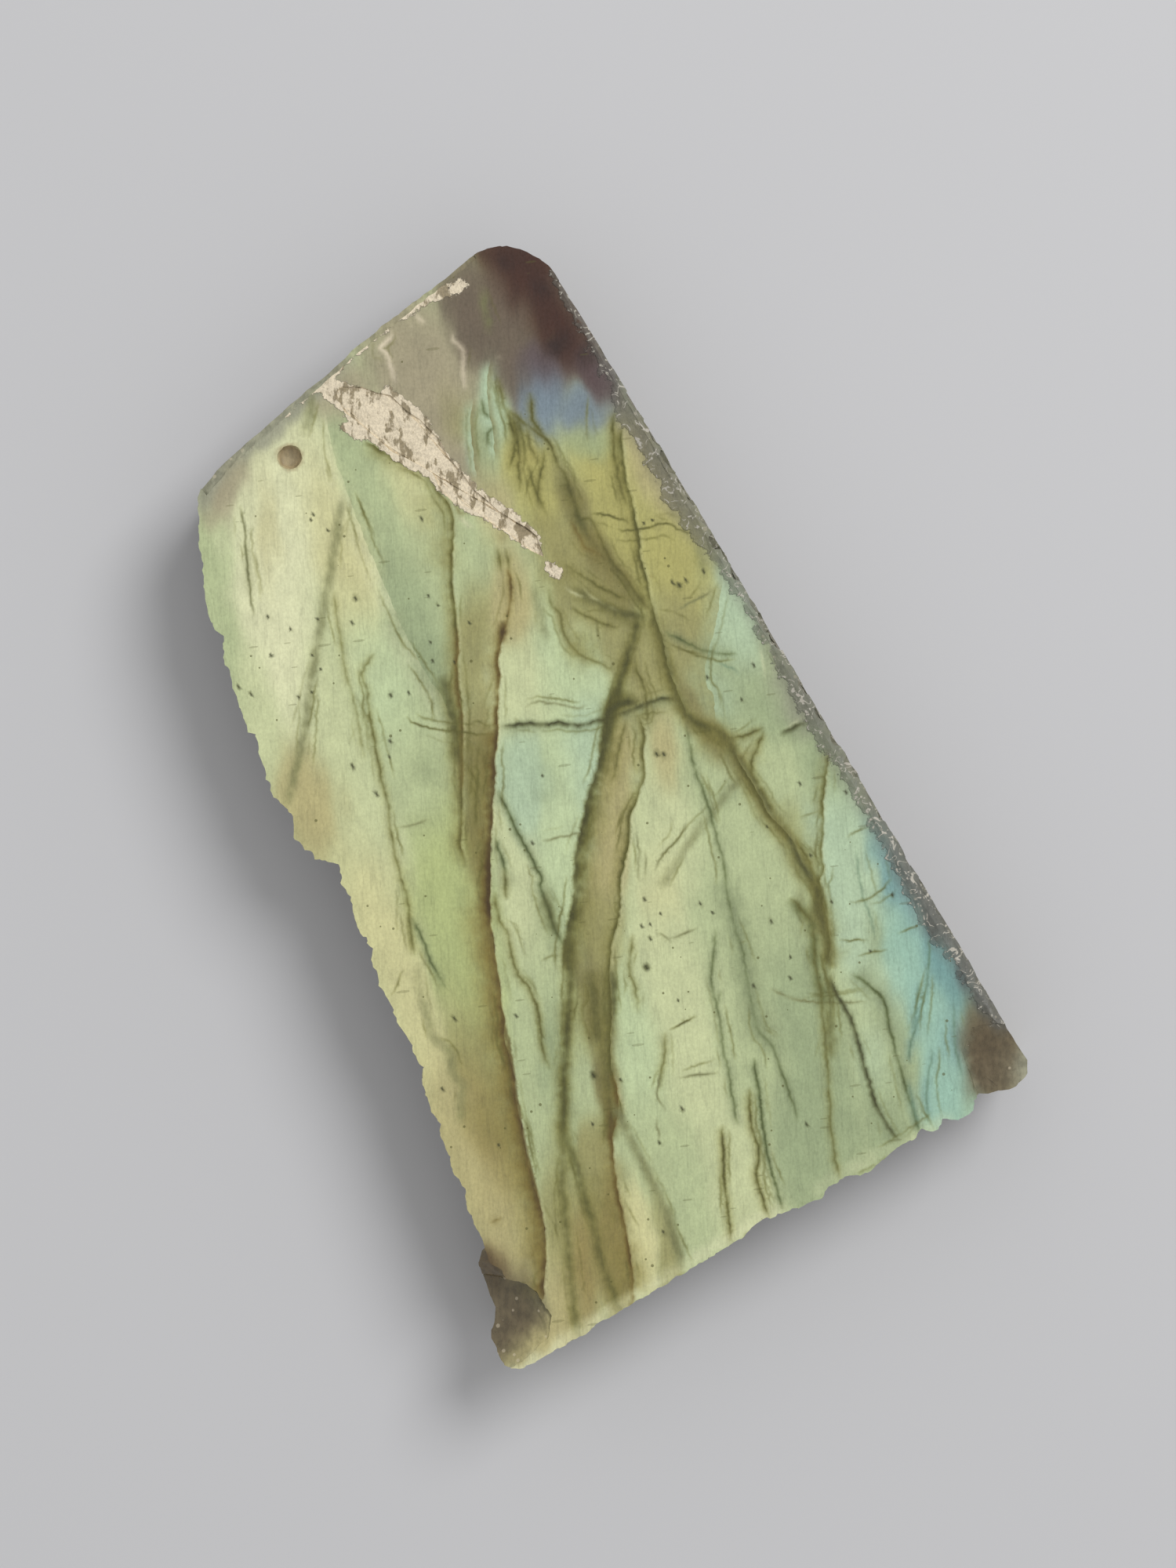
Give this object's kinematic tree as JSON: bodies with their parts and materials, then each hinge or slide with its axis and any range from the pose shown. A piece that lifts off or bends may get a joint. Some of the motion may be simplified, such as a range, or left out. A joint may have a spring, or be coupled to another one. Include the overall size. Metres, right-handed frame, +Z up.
{
  "type": "polished labradorite slab",
  "caption": "Flat offcut of labradorite with a polished face, sawn and broken edges, dark cleavage veins and a pale crust, lying on its back.",
  "frame": {"origin": "on the sawn back, under the middle of the slab's box", "axes": "+Z up, out of the polished face; +Y along the long sawn edge, towards the narrow end; +X towards the long sawn edge"},
  "size_m": [0.0314, 0.0508, 0.0065],
  "materials": {
    "labradorite": "polished face, sawn and broken edges matt"
  },
  "bodies": {
    "root": {"labradorite_slab": "labradorite"}
  },
  "joints": []
}
